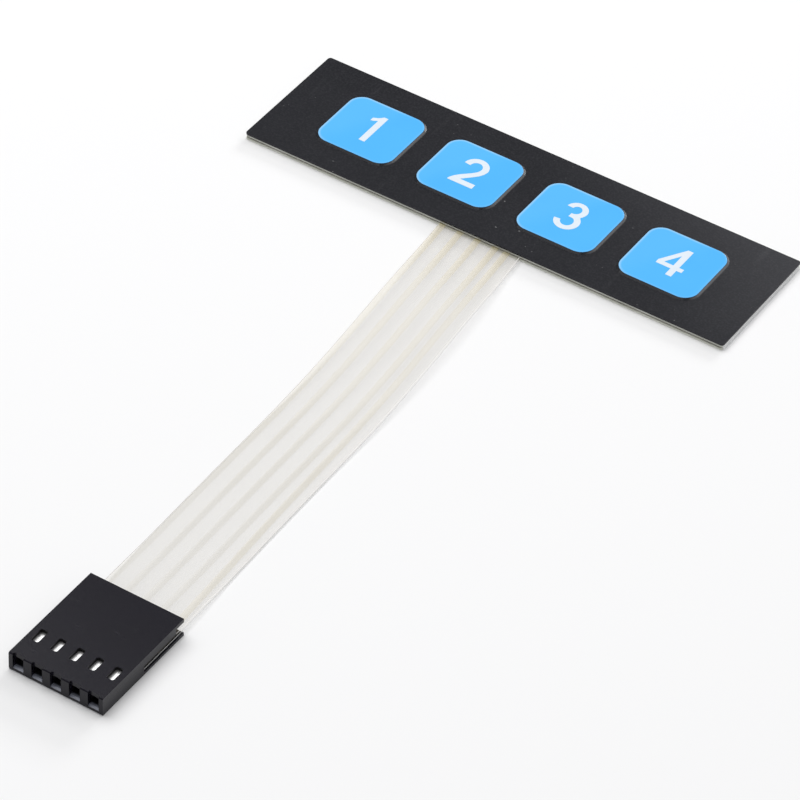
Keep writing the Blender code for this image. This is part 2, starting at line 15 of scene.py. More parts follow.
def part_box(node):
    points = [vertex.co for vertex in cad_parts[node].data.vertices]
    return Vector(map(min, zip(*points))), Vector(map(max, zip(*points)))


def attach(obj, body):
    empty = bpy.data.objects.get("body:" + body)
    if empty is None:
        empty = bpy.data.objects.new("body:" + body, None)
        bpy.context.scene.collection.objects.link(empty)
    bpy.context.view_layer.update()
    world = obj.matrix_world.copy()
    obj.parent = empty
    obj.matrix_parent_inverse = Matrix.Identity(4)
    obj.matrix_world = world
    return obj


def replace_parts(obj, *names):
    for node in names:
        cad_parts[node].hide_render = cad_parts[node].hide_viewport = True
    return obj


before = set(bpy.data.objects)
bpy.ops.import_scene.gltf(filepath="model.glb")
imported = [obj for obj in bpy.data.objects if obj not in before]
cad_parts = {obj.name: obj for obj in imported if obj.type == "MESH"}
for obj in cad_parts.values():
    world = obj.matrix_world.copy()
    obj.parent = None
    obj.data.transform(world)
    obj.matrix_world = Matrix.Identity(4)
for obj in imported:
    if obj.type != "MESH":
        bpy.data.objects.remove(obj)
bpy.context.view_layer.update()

bl_info = {
    "name": "Membrane keypad finish",
    "version": (1, 0, 0),
    "blender": (4, 5, 0),
    "location": "3D View > Sidebar > Keypad",
    "description": "Finishes and prints a four-key membrane keypad and sets it on a pale table",
    "category": "Object",
}

MM = 0.001
PAD_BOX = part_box("graphic_overlay")
HOUSING_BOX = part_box("connector_housing")
KEYS = range(1, 5)
CONTACTS = range(1, 6)
DOMES = [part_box(f"dome_{number}") for number in KEYS]
KEY_CENTRES = [(low[0] + high[0]) / 2 for low, high in DOMES]
KEY_TOP = PAD_BOX[1][2]
PAD_NEAR_Y = PAD_BOX[0][1]
PAD_RIGHT_X = PAD_BOX[1][0]

# The tracks' ink keeps its full opacity on the pad's side of the first line, and fades beyond the second.
TAIL_NEAR_Y = -25.0 * MM
TAIL_FAR_Y = -80.0 * MM
# The share of the tracks' opacity that is kept at the connector.
KEY_INK_SHARE = 0.4
COMMON_INK_SHARE = 1.0
# How much the tail's cover hides of what lies under it, how much more its films do in their haze and, as
# painted shade, near the pad, and how much they hide at their right cut edge, which carries a painted
# highlight.
COVER_OPACITY = 0.01
FILM_HAZE = 0.01
FILM_SHADE_NEAR_PAD = 0.015
EDGE_HIGHLIGHT_OPACITY = 0.9
# How much the tracks' ink hides, and how much more it does where it is cloudy and near the pad.
INK_OPACITY = 0.065
INK_CLOUD = 0.03
INK_NEAR_PAD = 0.07
# On a single skin, the cut edge's painted highlight starts this far toward the right side, which is at 1.
SKIN_HIGHLIGHT_START = (0.976, 0.984)
SKIN_HIGHLIGHT_SHARE = 0.8

# Points nearer than this are one point, and heights nearer than this are one height.
MERGE_DISTANCE = 0.0005 * MM
SAME_HEIGHT = 0.0001 * MM
# Corners whose places along the tail differ by less than this lie across from each other.
SAME_REACH = 0.01 * MM
# A face looks up if its normal's Z is over this.
UPWARD = 0.5
# A face that turns toward an axis looks along it from the first of these on, and fully from the second.
LOOKS_RIGHT = (0.5, 0.8)
LOOKS_UP_OR_DOWN = (0.2, 0.5)
# How deep a grain or streak is cut, for the bump of most finishes.
FINE_RELIEF = 0.02 * MM

# The shine of the printed film, and the scale of the inks' finest grain in lumps to the metre.
PRINT_SPECULAR = 0.28
INK_GRAIN = 9000.0

# A start is where an effect sets in and where it is full. An end is where it begins to fade and is gone.
# The overlay's painted sheen, along X plus a share of Y:
SHEEN_SLANT = 1.6
SHEEN_START = (6.0 * MM, 52.0 * MM)
# The painted highlight along the right foot of each key, where its slope catches light, measured outside the
# key's outline. Its side lies this far right of the key's middle, in shares of the key's length.
FOOT_HIGHLIGHT_START = (0.0, 0.06 * MM)
FOOT_HIGHLIGHT_END = (0.18 * MM, 0.34 * MM)
FOOT_HIGHLIGHT_SIDE = (0.44, 0.5)
# The keys' painted rim highlights, measured outside their outline:
RIM_HIGHLIGHT_START = (-0.42 * MM, -0.06 * MM)
# The keys' left sides, painted lighter where light falls, from the key's middle along X less a share of Y:
LIT_SLANT = 0.6
LIT_END = (-3.4 * MM, 0.5 * MM)
# The painted light on the layers' cut edges at the pad's right end, along X:
RIGHT_END_LIGHT_START = (PAD_RIGHT_X - 0.15 * MM, PAD_RIGHT_X - 0.05 * MM)

# Tints that are laid over a finish's own colour: how strongly, and the linear colour.
GRAIN_TINT = (0.022, (0.45, 0.45, 0.50))
SPECK_TINT = (0.35, (0.45, 0.45, 0.45))
SHEEN_TINT = (0.052, (0.45, 0.45, 0.48))
FOOT_HIGHLIGHT_TINT = (0.16, (0.50, 0.49, 0.50))
SCUFF_TINT = (0.02, (0.25, 0.25, 0.27))
LIT_TINT = (0.16, (0.17, 0.56, 0.98))
RIM_HIGHLIGHT_TINT = (1.0, (0.38, 0.64, 0.86))
PATCH_TINT = (0.5, (0.88, 0.88, 0.84))
NICK_TINT = (0.8, (0.98, 0.98, 0.96))
RIGHT_END_LIGHT_TINT = (0.85, (0.97, 0.98, 1.0))
RUB_TINT = (0.08, (0.10, 0.10, 0.11))
LIT_LIP_TINT = (0.8, (0.30, 0.32, 0.39))
HOLLOW_SHADE_TINT = (0.8, (0.001, 0.001, 0.001))

STEEL_PALE = (0.66, 0.65, 0.62)
STEEL_DARK = (0.50, 0.49, 0.47)

# Each layer of the pad: how pale it is beside the set colour, and how rough.
LAYERS = {
    "overlay_adhesive": (0.9, 0.35),
    "dome_spacer": (1.0, 0.3),
    "rear_adhesive": (1.1, 0.4),
    "release_liner": (1.5, 0.55),
}

# Each soft box: its place, the point that it faces, its size and its watts.
PAD_AIM = (0.0, -0.03, 0.0)
ORIGIN = (0.0, 0.0, 0.0)
SOFT_BOXES = {
    "overhead_soft_box": ((-0.37, 0.08, 1.08), PAD_AIM, (0.9, 1.2), 11.3),
    "rear_right_box": ((0.62, 0.95, 0.88), PAD_AIM, (0.40, 0.40), 1.4),
    "rear_box": ((-0.10, 1.10, 0.84), ORIGIN, (0.40, 0.30), 1.2),
    "low_rear_box": ((-0.02, 1.25, 0.42), ORIGIN, (0.50, 0.25), 6.0),
}

TABLE_HALF_WIDTH = 1.5
TABLE_DROP = 0.02 * MM

# The camera as fitted to the photograph. Its angles, in degrees: azimuth from -Y toward +X, elevation, roll.
CAMERA_PLACE = (0.225977, -0.401335, 0.376656)
CAMERA_ANGLES = (31.051, 41.708, 3.050)
CAMERA_CLIP = (0.01, 10.0)
SENSOR_WIDTH = 36.0


def linear(red, green, blue):
    """A screen colour, each part out of 255, as the linear colour that shaders use."""
    shares = (red / 255, green / 255, blue / 255)
    return tuple(s / 12.92 if s <= 0.04045 else ((s + 0.055) / 1.055) ** 2.4 for s in shares)


def colour_property(name, description, default):
    """A colour among an add-on's settings."""
    return bpy.props.FloatVectorProperty(
        name=name, description=description, subtype="COLOR", size=3, min=0.0, max=1.0, default=default)


def length_property(name, description, default):
    """A length in metres among an add-on's settings."""
    return bpy.props.FloatProperty(
        name=name, description=description, default=default, min=0.0, unit="LENGTH", precision=5)


class KeypadPrintSettings(bpy.types.PropertyGroup):
    """Ink colours and sizes of the overlay's print."""

    ground: colour_property("Ground", "Black ink around the keys", linear(16, 17, 24))
    field: colour_property("Key", "Blue ink of the keys", linear(78, 180, 248))
    numeral: colour_property("Numeral", "White ink of the numerals", linear(220, 230, 240))
    key_length: length_property("Key length", "Blue field along the row", 10.9 * MM)
    key_width: length_property("Key width", "Blue field across the row", 10.4 * MM)
    key_corner: length_property("Key corner", "Corner radius of the blue field", 2.0 * MM)
    key_cap: length_property("Key cap", "How far the printed cap stands over the embossed key", 0.03 * MM)
    key_rim: length_property("Key rim", "Width of the printed cap's rounded rim", 0.05 * MM)
    numeral_size: bpy.props.FloatProperty(
        name="Numeral size", description="Size of the numerals, 1 for a height of about 5.5 mm",
        default=1.0, min=0.1)
    ink_thickness: length_property(
        "Ink thickness", "How far the numerals' ink stands over the key", 0.012 * MM)


class KeypadFilmSettings(bpy.types.PropertyGroup):
    """Colours of the films under the print and of the tracks."""

    film: colour_property("Film", "Milky polyester of the tail", linear(172, 160, 132))
    film_edge_highlight: colour_property("Cut edge", "Where the film's cut edge catches light", linear(252, 252, 252))
    ink: colour_property("Track", "Beige silver ink of the tracks", linear(255, 230, 132))
    layers: colour_property("Layers", "Cut edges of the adhesive, spacer and liner", linear(196, 197, 188))
    clearness: bpy.props.FloatProperty(
        name="Clearness", description="How much of the table shows through the tail",
        default=0.95, min=0.0, max=1.0, subtype="FACTOR")


class KeypadConnectorSettings(bpy.types.PropertyGroup):
    """Colours of the connector."""

    plastic: colour_property("Housing", "Charcoal moulded plastic", linear(17, 15, 25))
    tin: colour_property("Contacts", "Bright tin plate", linear(252, 252, 252))


class KeypadStageSettings(bpy.types.PropertyGroup):
    """The table, the light and the lens."""

    table: colour_property("Table", "Pale table top", (0.86, 0.86, 0.865))
    lens: bpy.props.FloatProperty(
        name="Lens", description="Focal length on a 36 mm wide sensor, in millimetres",
        default=217.122, min=1.0)
    sky: bpy.props.FloatProperty(
        name="Room light", description="Strength of the even room light", default=0.32, min=0.0)


class Shade:
    """A node socket that can be used in sums."""

    def __init__(self, finish, socket):
        self.finish = finish
        self.socket = socket

    def __add__(self, other):
        return self.finish.math("ADD", self, other)

    def __radd__(self, other):
        return self.finish.math("ADD", other, self)

    def __sub__(self, other):
        return self.finish.math("SUBTRACT", self, other)

    def __rsub__(self, other):
        return self.finish.math("SUBTRACT", other, self)

    def __mul__(self, other):
        return self.finish.math("MULTIPLY", self, other)

    def __truediv__(self, other):
        return self.finish.math("DIVIDE", self, other)


class Finish:
    """One material, with the methods that build its nodes."""

    def __init__(self, name, roughness=0.5, metallic=0.0, specular=0.5):
        self.material = bpy.data.materials.new(name)
        self.material.use_nodes = True
        self.tree = self.material.node_tree
        self.shader = self.tree.nodes["Principled BSDF"]
        self.set("Roughness", roughness)
        self.set("Metallic", metallic)
        self.set("Specular IOR Level", specular)

    def fill(self, target, value):
        """Gives a node's socket a value or a link."""
        if isinstance(value, Shade):
            self.tree.links.new(value.socket, target)
        elif target.type == "RGBA" and len(value) == 3:
            target.default_value = (*value, 1.0)
        else:
            target.default_value = value

    def set(self, socket, value):
        """Gives one of the shader's sockets a value or a link."""
        self.fill(self.shader.inputs[socket], value)

    def node(self, kind, settings=None, values=None, output=0):
        """Any node: its settings first, then its sockets' values or links."""
        made = self.tree.nodes.new(kind)
        for setting, value in (settings or {}).items():
            setattr(made, setting, value)
        for key, value in (values or {}).items():
            self.fill(made.inputs[key], value)
        return Shade(self, made.outputs[output])

    def place(self):
        """Where a point lies on the keypad, in metres."""
        return self.node("ShaderNodeTexCoord", output="Object")

    def part(self, vector, axis):
        """A vector's part along X, Y or Z."""
        return self.node("ShaderNodeSeparateXYZ", {}, {0: vector}, output=axis)

    def noise(self, scale, detail=2.0, stretch=(1.0, 1.0, 1.0)):
        """Cloudy noise from 0 to 1, with scale in lumps to the metre."""
        place = self.node("ShaderNodeMapping", {}, {"Vector": self.place(), "Scale": stretch})
        return self.node("ShaderNodeTexNoise", {}, {"Vector": place, "Scale": scale, "Detail": detail})

    def math(self, operation, first, second=0.0):
        """One Math node."""
        return self.node("ShaderNodeMath", {"operation": operation}, {0: first, 1: second})

    def ramp(self, value, low, high):
        """0 below low, 1 above high, and smooth between them."""
        return self.node("ShaderNodeMapRange", {"interpolation_type": "SMOOTHSTEP"},
                         {"Value": value, "From Min": low, "From Max": high})

    def mix(self, share, first, second):
        """A colour that lies between two others."""
        return self.node("ShaderNodeMix", {"data_type": "RGBA"}, {0: share, 6: first, 7: second}, output=2)

    def tint(self, base, share, tint):
        """A colour with a tint laid over it, at its full strength where the share is 1."""
        strength, colour = tint
        return self.mix(share * strength, base, colour)

    def bump(self, height, strength, distance=FINE_RELIEF):
        """Tilts the surface by a height."""
        values = {"Height": height, "Strength": strength, "Distance": distance}
        self.set("Normal", self.node("ShaderNodeBump", {}, values))

    def facing(self, axis):
        """How squarely a face looks along X, Y or Z, from -1 to 1."""
        return self.part(self.node("ShaderNodeNewGeometry", output="True Normal"), axis)


def shaded(colour, share):
    """A colour made darker, or paler with a share over 1."""
    return tuple(part * share for part in colour)


def key_distance(finish, colours):
    """A point's distance outside the nearest key's outline, and its place about that key.

    The distance is less than 0 inside the outline.
    """
    x, y = (finish.part(finish.place(), axis) for axis in "XY")
    pitch = KEY_CENTRES[1] - KEY_CENTRES[0]
    nearest = finish.math("ROUND", (x - KEY_CENTRES[0]) / pitch)
    nearest = finish.math("MAXIMUM", finish.math("MINIMUM", nearest, len(KEY_CENTRES) - 1.0), 0.0)
    across = x - KEY_CENTRES[0] - nearest * pitch
    past_x = finish.math("ABSOLUTE", across) - (colours.key_length / 2 - colours.key_corner)
    past_y = finish.math("ABSOLUTE", y) - (colours.key_width / 2 - colours.key_corner)
    far_x, far_y = finish.math("MAXIMUM", past_x, 0.0), finish.math("MAXIMUM", past_y, 0.0)
    round_part = finish.math("SQRT", far_x * far_x + far_y * far_y)
    flat_part = finish.math("MINIMUM", finish.math("MAXIMUM", past_x, past_y), 0.0)
    return round_part + flat_part - colours.key_corner, across, y


def overlay_finish(colours):
    """Black print on a fine-grained satin film, with faint specks and scuffs.

    A painted sheen lightens the print toward the far right corner. A painted highlight
    runs along the right foot of each key, where its embossed slope catches light.
    """
    finish = Finish("overlay_print", specular=PRINT_SPECULAR)
    cloud = finish.noise(scale=90.0, detail=3.0)
    grain = finish.noise(scale=4200.0)
    specks = finish.ramp(finish.noise(scale=2900.0, detail=0.0), 0.84, 0.92) * finish.ramp(cloud, 0.45, 0.6)
    scuffs = finish.ramp(finish.noise(scale=700.0, detail=3.0, stretch=(1.0, 0.12, 1.0)), 0.62, 0.80)
    outside, across, y = key_distance(finish, colours)
    # haze here is a painted sheen, lighter toward the far right corner.
    haze = finish.ramp(finish.part(finish.place(), "X") + y * SHEEN_SLANT, *SHEEN_START)
    # foot is a painted highlight where each key's right slope catches light.
    foot = finish.ramp(outside, *FOOT_HIGHLIGHT_START) * (1.0 - finish.ramp(outside, *FOOT_HIGHLIGHT_END))
    foot = foot * finish.ramp(across, *(colours.key_length * share for share in FOOT_HIGHLIGHT_SIDE))
    ground = finish.mix(cloud, shaded(colours.ground, 0.85), shaded(colours.ground, 1.15))
    ground = finish.tint(ground, finish.ramp(grain, 0.40, 0.72), GRAIN_TINT)
    ground = finish.tint(ground, specks, SPECK_TINT)
    ground = finish.tint(ground, haze, SHEEN_TINT)
    ground = finish.tint(ground, foot, FOOT_HIGHLIGHT_TINT)
    finish.set("Base Color", finish.tint(ground, scuffs, SCUFF_TINT))
    finish.set("Roughness", 0.24 + cloud * 0.08 + scuffs * 0.08 + grain * 0.04)
    finish.bump(grain, strength=0.15)
    return finish.material


def field_finish(colours):
    """Blue ink with a fine satin grain, a little uneven, with a painted rim highlight and painted light
    toward its left.
    """
    finish = Finish("key_blue", specular=PRINT_SPECULAR)
    cloud = finish.noise(scale=140.0)
    outside, across, y = key_distance(finish, colours)
    # rim is a painted highlight at each key's edge, and lit is painted light, stronger toward the left.
    rim = finish.ramp(outside, *RIM_HIGHLIGHT_START)
    lit = 1.0 - finish.ramp(across - y * LIT_SLANT, *LIT_END)
    body = finish.mix(cloud, shaded(colours.field, 0.94), colours.field)
    body = finish.tint(body, lit, LIT_TINT)
    finish.set("Base Color", finish.tint(body, rim * (0.12 + lit * 0.50), RIM_HIGHLIGHT_TINT))
    finish.set("Roughness", 0.26 + cloud * 0.10)
    finish.bump(finish.noise(scale=INK_GRAIN), strength=0.12)
    return finish.material


def numeral_finish(colours):
    """White ink, a little uneven."""
    finish = Finish("numeral_white", roughness=0.45)
    cloud = finish.noise(scale=900.0)
    finish.set("Base Color", finish.mix(cloud, shaded(colours.numeral, 0.93), colours.numeral))
    finish.bump(finish.noise(scale=INK_GRAIN), strength=0.15)
    return finish.material


def layer_finish(name, colour, roughness):
    """A layer seen at its cut edge, streaked and nicked by the die, with painted light at the pad's right
    end.
    """
    finish = Finish(name, roughness=roughness)
    streaks = finish.noise(scale=1500.0, stretch=(1.0, 1.0, 0.05))
    patches = finish.ramp(finish.noise(scale=160.0), 0.45, 0.75)
    nicks = finish.ramp(finish.noise(scale=520.0, detail=0.0, stretch=(1.0, 1.0, 0.2)), 0.80, 0.84)
    # Painted light: the cut edges at the pad's right end are made paler.
    right_end_light = finish.ramp(finish.part(finish.place(), "X"), *RIGHT_END_LIGHT_START)
    base = finish.tint(colour, streaks, (0.25, shaded(colour, 0.55)))
    base = finish.tint(base, patches, PATCH_TINT)
    base = finish.tint(base, nicks, NICK_TINT)
    finish.set("Base Color", finish.tint(base, right_end_light, RIGHT_END_LIGHT_TINT))
    finish.bump(streaks, strength=0.3)
    return finish.material


def film_finish(name, colours, opacity, cut_by_side=False):
    """Milky polyester that lets the table show through, with a painted highlight at its right cut edge.

    The edge is known by where its faces look, or on a single skin by the "side" of its corners.
    """
    finish = Finish(name)
    # edge is a painted highlight where the right cut edge catches light.
    if cut_by_side:
        side = finish.node("ShaderNodeAttribute", {"attribute_name": "side"}, output="Fac")
        edge = finish.ramp(side, *SKIN_HIGHLIGHT_START) * SKIN_HIGHLIGHT_SHARE
    else:
        edge = finish.ramp(finish.facing("X"), *LOOKS_RIGHT)
    haze = finish.noise(scale=130.0, detail=3.0)
    body = finish.mix(haze, shaded(colours.film, 0.97), colours.film)
    finish.set("Base Color", finish.mix(edge, body, colours.film_edge_highlight))
    # near_pad adds painted shade: the film is more opaque, so darker, toward the pad.
    near_pad = finish.ramp(finish.part(finish.place(), "Y"), TAIL_NEAR_Y, PAD_NEAR_Y)
    cover = opacity + haze * FILM_HAZE + near_pad * FILM_SHADE_NEAR_PAD
    finish.set("Alpha", finish.math("MAXIMUM", cover, edge * EDGE_HIGHLIGHT_OPACITY))
    finish.set("Roughness", 0.22 + haze * 0.12)
    return finish.material


def track_finish(name, colours, share_at_connector):
    """Silver ink that dries beige, with the weave of the printing screen.

    It is more opaque near the pad, and keeps only a share of its opacity at the connector.
    """
    finish = Finish(name, roughness=0.55)
    weave = finish.noise(scale=5200.0)
    cloud = finish.noise(scale=110.0)
    warm = finish.mix(cloud, colours.ink, shaded(colours.ink, 0.94))
    finish.set("Base Color", finish.tint(warm, weave, (0.12, shaded(colours.ink, 0.85))))
    y = finish.part(finish.place(), "Y")
    toward_pad = finish.ramp(y, TAIL_FAR_Y, TAIL_NEAR_Y)
    near_pad = finish.ramp(y, TAIL_NEAR_Y, PAD_NEAR_Y)
    cover = INK_OPACITY + cloud * INK_CLOUD + near_pad * INK_NEAR_PAD
    finish.set("Alpha", cover * (share_at_connector + toward_pad * (1.0 - share_at_connector)))
    finish.bump(weave, strength=0.2)
    return finish.material


def hollow_light_shares(finish):
    """Painted shade, 1 deep inside the housing's windows and sockets, and painted light, 1 on the lower lips
    of its sockets.
    """
    (left, front, _), (right, _, top) = HOUSING_BOX
    half = (right - left) / 2
    side_walls = (half - 0.3 * MM, half - 0.2 * MM)
    under_top = (top - 0.12 * MM, top - 0.03 * MM)
    mouth_start = (front + 0.02 * MM, front + 0.08 * MM)
    mouth_end = (front + 0.4 * MM, front + 0.8 * MM)
    over_lips = (0.75 * MM, 0.9 * MM)
    x, y, z = (finish.part(finish.place(), axis) for axis in "XYZ")
    aside = finish.math("ABSOLUTE", x - (left + right) / 2)
    between_sides = 1.0 - finish.ramp(aside, *side_walls)
    behind_mouth = finish.ramp(y, *mouth_end)
    # inner marks painted shade deep inside the windows and sockets.
    inner = between_sides * behind_mouth * (1.0 - finish.ramp(z, *under_top))
    level = finish.ramp(finish.math("ABSOLUTE", finish.facing("Z")), *LOOKS_UP_OR_DOWN)
    # mouth marks the sockets' lower lips for painted light.
    mouth = finish.ramp(y, *mouth_start) * (1.0 - behind_mouth) * between_sides
    return inner, mouth * (1.0 - finish.ramp(z, *over_lips)) * level


def housing_finish(colours):
    """Charcoal moulded plastic with a spark-eroded grain and slight shine.

    Its hollows carry painted shade, and its sockets' lower lips painted light.
    """
    finish = Finish("housing_plastic", specular=0.25)
    grain = finish.noise(scale=5200.0)
    cloud = finish.noise(scale=260.0)
    rubs = finish.ramp(finish.noise(scale=1200.0, detail=3.0, stretch=(0.2, 1.0, 1.0)), 0.62, 0.82)
    # inner carries painted shade, and the lip share painted light.
    inner, lit_lip = hollow_light_shares(finish)
    base = finish.mix(cloud, shaded(colours.plastic, 0.88), shaded(colours.plastic, 1.12))
    base = finish.tint(base, rubs, RUB_TINT)
    base = finish.tint(base, lit_lip, LIT_LIP_TINT)
    finish.set("Base Color", finish.tint(base, inner, HOLLOW_SHADE_TINT))
    finish.set("Roughness", 0.15 + grain * 0.08 + inner * 0.5)
    finish.bump(grain, strength=0.12, distance=0.03 * MM)
    return finish.material


def tin_finish(colours):
    """Bright tin plate, drawn along the contact."""
    finish = Finish("bright_tin", metallic=0.85)
    lines = finish.noise(scale=3000.0, stretch=(1.0, 0.08, 1.0))
    finish.set("Base Color", finish.mix(lines, colours.tin, shaded(colours.tin, 0.88)))
    finish.set("Roughness", 0.22 + lines * 0.16)
    finish.bump(lines, strength=0.12, distance=0.01 * MM)
    return finish.material


def steel_finish():
    """Rolled stainless spring steel."""
    finish = Finish("dome_steel", metallic=1.0)
    lines = finish.noise(scale=2400.0, detail=3.0, stretch=(0.06, 1.0, 1.0))
    finish.set("Base Color", finish.mix(lines, STEEL_PALE, STEEL_DARK))
    finish.set("Roughness", 0.20 + lines * 0.16)
    return finish.material


def paint(node, material):
    """Gives a CAD node a finish."""
    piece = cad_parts[node]
    if not piece.material_slots:
        piece.data.materials.append(material)
    for holder in piece.material_slots:
        holder.material = material


def add_piece(name, mesh, material):
    """A new piece that rides on the keypad."""
    piece = bpy.data.objects.new(name, mesh)
    mesh.materials.clear()
    mesh.materials.append(material)
    bpy.context.scene.collection.objects.link(piece)
    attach(piece, "root")
    return piece


def mesh_from(bm, name):
    """Makes a bmesh a mesh."""
    mesh = bpy.data.meshes.new(name)
    bm.to_mesh(mesh)
    bm.free()
    return mesh


def closed_mesh_from(bm, name):
    """Closes up a bmesh, turns its faces out and makes it a mesh."""
    bmesh.ops.remove_doubles(bm, verts=bm.verts, dist=MERGE_DISTANCE)
    bmesh.ops.recalc_face_normals(bm, faces=bm.faces)
    return mesh_from(bm, name)


def upper_skin(node, name):
    """The upper skin alone of a hair-thin layer, so that light crosses it once.

    Its corners carry a "side": 1 at the right end of an edge across the tail, -1 elsewhere.
    """
    bm = bmesh.new()
    bm.from_mesh(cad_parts[node].data)
    bmesh.ops.remove_doubles(bm, verts=bm.verts, dist=MERGE_DISTANCE)
    bm.normal_update()
    bmesh.ops.delete(bm, geom=[face for face in bm.faces if face.normal.z < UPWARD], context="FACES")
    side = bm.verts.layers.float.new("side")
    for corner in bm.verts:
        level = [edge.other_vert(corner) for edge in corner.link_edges
                 if abs(edge.other_vert(corner).co.y - corner.co.y) < SAME_REACH]
        corner[side] = 1.0 if all(corner.co.x > other.co.x for other in level) else -1.0
    return mesh_from(bm, name)


def rounded_block(length, width, corner, low, high, rim):
    """A thin block with rounded corners and a softened upper rim, standing between two heights."""
    bm = bmesh.new()
    bmesh.ops.create_cube(bm, size=1.0)
    bmesh.ops.scale(bm, verts=bm.verts, vec=(length, width, high - low))
    bmesh.ops.translate(bm, verts=bm.verts, vec=(0.0, 0.0, (low + high) / 2))
    upright = [edge for edge in bm.edges if abs(edge.verts[0].co.z - edge.verts[1].co.z) > (high - low) / 2]
    bmesh.ops.bevel(bm, geom=upright, offset=corner, segments=10, affect="EDGES", profile=0.5, material=-1)
    upper = [edge for edge in bm.edges if all(end.co.z > high - SAME_HEIGHT for end in edge.verts)]
    bmesh.ops.bevel(bm, geom=upper, offset=rim, segments=3, affect="EDGES", profile=0.5, material=-1)
    return bm


def arc(centre, radii, start, end):
    """Points along an ellipse, its angles in degrees."""
    steps = 18
    turns = [math.radians(start + (end - start) * step / steps) for step in range(steps + 1)]
    return [(centre[0] + radii[0] * math.cos(turn), centre[1] + radii[1] * math.sin(turn)) for turn in turns]


def numeral_outlines(number):
    """Outlines of a bold sans-serif numeral in millimetres, about the middle of its key."""
    if number == 1:
        return [[(0.58, 3.00), (-0.02, 3.00), (-0.27, 2.68), (-0.62, 2.40), (-1.18, 2.14), (-1.18, 1.52),
                 (-0.76, 1.66), (-0.28, 1.96), (-0.28, -2.52), (0.58, -2.52)]]
    if number == 2:
        bowl = (0.02, 1.32)
        outer = arc(bowl, (1.72, 1.71), 176, 0)
        diagonal = [(1.62, 0.75), (1.28, 0.12), (0.60, -0.62), (-0.42, -1.66)]
        base = [(1.80, -1.66), (1.80, -2.52), (-1.80, -2.52), (-1.72, -2.12), (-1.40, -1.52), (-0.85, -0.88)]
        inner = [(0.20, 0.10), (0.68, 0.68)] + arc(bowl, (0.84, 0.92), -18, 180)
        return [outer + diagonal + base + inner]
    if number == 3:
        upper, lower = (-0.04, 1.56), (-0.02, -0.84)
        outer = arc(upper, (1.48, 1.47), 172, -42) + arc(lower, (1.70, 1.68), 46, -172)
        bar = [(-0.05, 0.04), (-0.32, 0.02), (-0.32, 0.74), (-0.02, 0.76)]
        inner = arc(lower, (0.85, 0.90), -172, 62) + bar + arc(upper, (0.66, 0.74), -58, 168)
        return [outer + inner]
    stem = [(0.42, 3.00), (1.16, 3.00), (1.16, -0.50), (1.86, -0.50), (1.86, -1.18), (1.16, -1.18)]
    foot = [(1.16, -2.50), (0.34, -2.50), (0.34, -1.18), (-1.76, -1.18), (-1.76, -0.52)]
    opening = [(0.34, -0.50), (-0.96, -0.50), (0.34, 1.60)]
    return [stem + foot, opening]


def numeral_plate(number, size, thickness):
    """A numeral as a thin plate, drawn as a filled curve."""
    curve = bpy.data.curves.new(f"numeral_{number}", "CURVE")
    curve.dimensions = "2D"
    curve.fill_mode = "BOTH"
    curve.extrude = thickness / 2
    for outline in numeral_outlines(number):
        spline = curve.splines.new("POLY")
        spline.points.add(len(outline) - 1)
        for point, (x, y) in zip(spline.points, outline):
            point.co = (x * size * MM, y * size * MM, 0.0, 1.0)
        spline.use_cyclic_u = True
    drawn = bpy.data.objects.new(curve.name, curve)
    bpy.context.scene.collection.objects.link(drawn)
    graph = bpy.context.evaluated_depsgraph_get()
    flat = bpy.data.meshes.new_from_object(drawn.evaluated_get(graph))
    bpy.data.objects.remove(drawn, do_unlink=True)
    bm = bmesh.new()
    bm.from_mesh(flat)
    return bm


class KEYPAD_OT_print(bpy.types.Operator):
    """Prints the overlay: black ground, blue key fields and white numerals"""

    bl_idname = "keypad.print"
    bl_label = "Print the overlay"

    def execute(self, context):
        colours = context.scene.keypad_print
        paint("graphic_overlay", overlay_finish(colours))
        blue, white = field_finish(colours), numeral_finish(colours)
        cap, ink = colours.key_cap, colours.ink_thickness
        for number, centre_x in zip(KEYS, KEY_CENTRES):
            block = rounded_block(colours.key_length, colours.key_width, colours.key_corner,
                                  KEY_TOP - cap, KEY_TOP + cap, colours.key_rim)
            self.add_print(f"key_print_{number}", block, (centre_x, 0.0, 0.0), blue)
            plate = numeral_plate(number, colours.numeral_size, ink)
            self.add_print(f"numeral_{number}", plate, (centre_x, 0.0, KEY_TOP + cap + ink / 2), white)
        return {"FINISHED"}

    @staticmethod
    def add_print(name, bm, place, material):
        """Moves a shape to its place and adds it to the overlay."""
        bmesh.ops.translate(bm, verts=bm.verts, vec=place)
        add_piece(name, closed_mesh_from(bm, name), material)


class KEYPAD_OT_layers(bpy.types.Operator):
    """Finishes the adhesives, the spacer, the domes and the liner"""

    bl_idname = "keypad.layers"
    bl_label = "Finish the layers"

    def execute(self, context):
        colour = tuple(context.scene.keypad_film.layers)
        for node, (shade, roughness) in LAYERS.items():
            paint(node, layer_finish(node, shaded(colour, shade), roughness))
        steel = steel_finish()
        for number in KEYS:
            paint(f"dome_{number}", steel)
        return {"FINISHED"}


